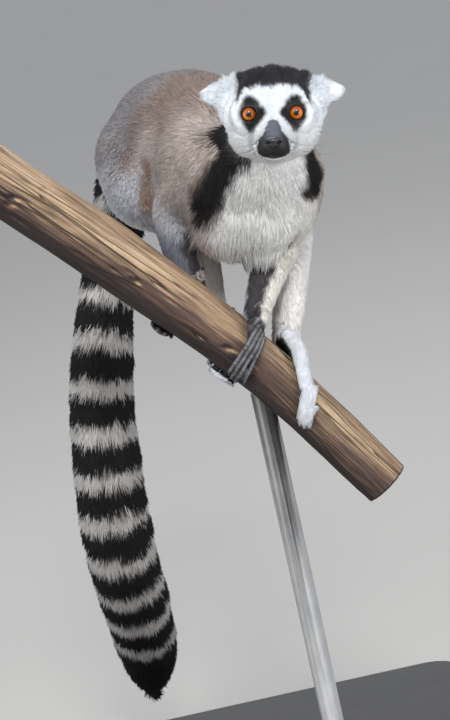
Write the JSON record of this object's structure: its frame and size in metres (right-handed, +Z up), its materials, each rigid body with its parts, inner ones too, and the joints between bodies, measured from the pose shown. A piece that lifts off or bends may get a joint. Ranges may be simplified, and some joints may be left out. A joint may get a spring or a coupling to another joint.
{
  "type": "ring-tailed lemur",
  "caption": "Life-size still ring-tailed lemur gripping a sloping perch, tail hanging, head turned to face forward, on a flat base with one rod.",
  "frame": {"origin": "middle of the display base's underside", "axes": "+Z up; the animal's face and hands are towards -Y, its tail towards +Y, and the perch slopes down towards +X"},
  "size_m": [0.4, 0.4351, 0.6836],
  "materials": {
    "white_coat": "soft white hair",
    "grey_coat": "dense matt grey hair",
    "brown_grey_coat": "dense matt brown-grey hair",
    "blue_grey_coat": "dense matt blue-grey hair",
    "foot_coat": "short pale hair over dark skin",
    "ringed_coat": "long hair in black and grey-white rings",
    "amber_eye": "polished glass-like eye, amber iris and black pupil",
    "nose_skin": "moist black skin",
    "dark_skin": "dark grey bare skin under short hair",
    "dry_wood": "weathered, barkless branch",
    "steel_rod": "satin",
    "black_board": "satin black lacquer"
  },
  "bodies": {
    "root": {"head": "white_coat", "neck": "grey_coat", "chest": "white_coat", "belly": "brown_grey_coat", "rump": "blue_grey_coat", "ear_left": "white_coat", "ear_right": "white_coat", "eye_left": "amber_eye", "eye_right": "amber_eye", "nose": "nose_skin", "upper_arm_left": "grey_coat", "upper_arm_right": "grey_coat", "forearm_left": "grey_coat", "forearm_right": "grey_coat", "hand_left": "dark_skin", "hand_right": "dark_skin", "thigh_left": "blue_grey_coat", "thigh_right": "blue_grey_coat", "shank_left": "blue_grey_coat", "shank_right": "blue_grey_coat", "foot_left": "foot_coat", "foot_right": "foot_coat", "tail_1": "ringed_coat", "tail_2": "ringed_coat", "tail_3": "ringed_coat", "tail_4": "ringed_coat", "tail_5": "ringed_coat", "perch": "dry_wood", "stand_rod": "steel_rod", "stand_base": "black_board"}
  },
  "joints": []
}
